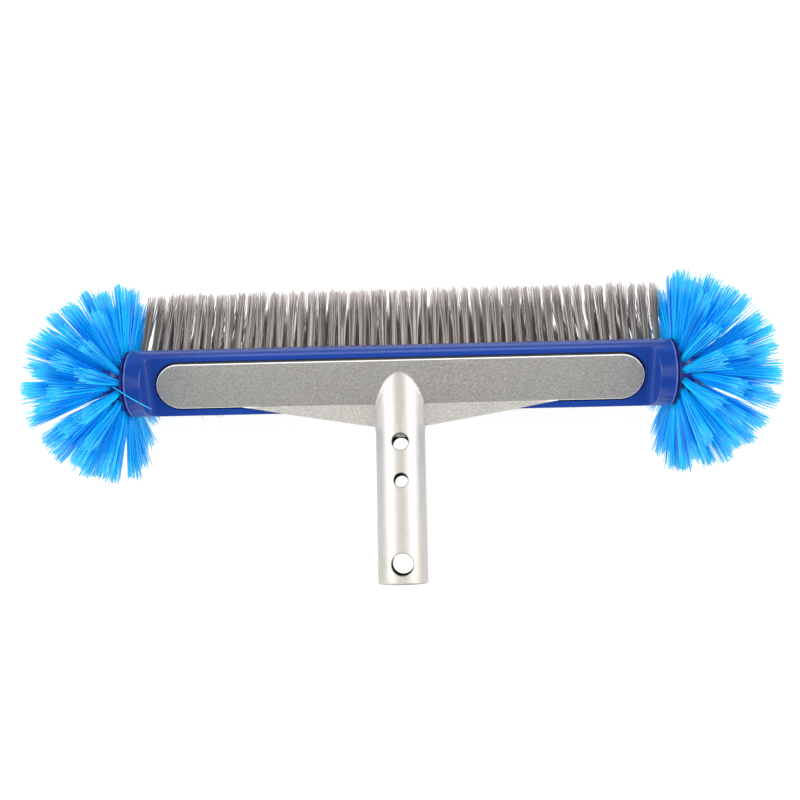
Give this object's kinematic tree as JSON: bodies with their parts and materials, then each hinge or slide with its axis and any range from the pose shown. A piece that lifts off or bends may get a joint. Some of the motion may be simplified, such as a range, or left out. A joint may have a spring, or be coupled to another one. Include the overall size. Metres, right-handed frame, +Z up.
{
  "type": "pool wall brush",
  "caption": "Pool wall brush: a plastic body with rows of nylon tufts, a round bristle head on each end and a cast handle bracket whose angled tube takes a telescopic pole.",
  "frame": {"origin": "middle of the bounding box's base, on the surface that the brush lies on", "axes": "+X along the body, to the right when the flat back is seen with the tube towards the viewer; -Y towards the tube's mouth; +Z up from the surface that the brush lies on"},
  "size_m": [0.4306, 0.1744, 0.1167],
  "materials": {
    "body_blue": "satin moulded",
    "hub_blue": "satin moulded",
    "cast_aluminium": "silver, fine sand texture",
    "stainless_steel": "plain",
    "grey_bristle": "semi-clear nylon",
    "azure_bristle": "nylon"
  },
  "bodies": {
    "root": {"brush_body": "body_blue", "handle_bracket": "cast_aluminium", "left_hub": "hub_blue", "right_hub": "hub_blue", "tuft_row_1": "grey_bristle", "tuft_row_2": "grey_bristle", "tuft_row_3": "grey_bristle", "tuft_row_4": "grey_bristle", "tuft_row_5": "grey_bristle", "tuft_row_6": "grey_bristle", "left_head_ring_1": "azure_bristle", "left_head_ring_2": "azure_bristle", "left_head_ring_3": "azure_bristle", "left_head_ring_4": "azure_bristle", "left_head_ring_5": "azure_bristle", "right_head_ring_1": "azure_bristle", "right_head_ring_2": "azure_bristle", "right_head_ring_3": "azure_bristle", "right_head_ring_4": "azure_bristle", "right_head_ring_5": "azure_bristle", "bracket_screws": "stainless_steel", "left_hub_screw": "stainless_steel", "right_hub_screw": "stainless_steel", "row_1_anchors": "stainless_steel", "row_2_anchors": "stainless_steel", "row_3_anchors": "stainless_steel", "row_4_anchors": "stainless_steel", "row_5_anchors": "stainless_steel", "row_6_anchors": "stainless_steel", "left_head_anchors": "stainless_steel", "right_head_anchors": "stainless_steel"}
  },
  "joints": []
}
